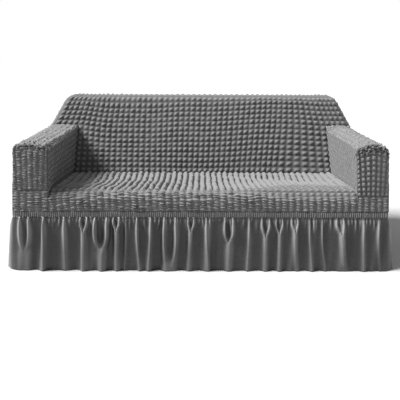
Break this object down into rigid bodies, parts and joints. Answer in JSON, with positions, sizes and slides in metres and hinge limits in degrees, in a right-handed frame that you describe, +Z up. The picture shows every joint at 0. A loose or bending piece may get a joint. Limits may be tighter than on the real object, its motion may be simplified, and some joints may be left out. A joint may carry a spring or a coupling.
{
  "type": "sofa slipcover",
  "caption": "Fitted stretch slipcover for a sofa: puffed bubble cloth over seat, back and arms, a shirred elastic band and a gathered skirt down to the floor.",
  "frame": {"origin": "on the floor under the middle of the hem", "axes": "+X to the right of the front view, +Y to the rear, +Z up"},
  "size_m": [1.999, 0.9746, 0.8378],
  "materials": {
    "bubble_cloth": "matte puffed knit",
    "band_cloth": "shirred elastic",
    "skirt_cloth": "soft sheen"
  },
  "bodies": {
    "root": {"back_inside": "bubble_cloth", "back_outside": "bubble_cloth", "arm_left": "bubble_cloth", "arm_right": "bubble_cloth", "arm_front_left": "bubble_cloth", "arm_front_right": "bubble_cloth", "seat_panel": "bubble_cloth", "waistband": "band_cloth", "skirt": "skirt_cloth"}
  },
  "joints": []
}
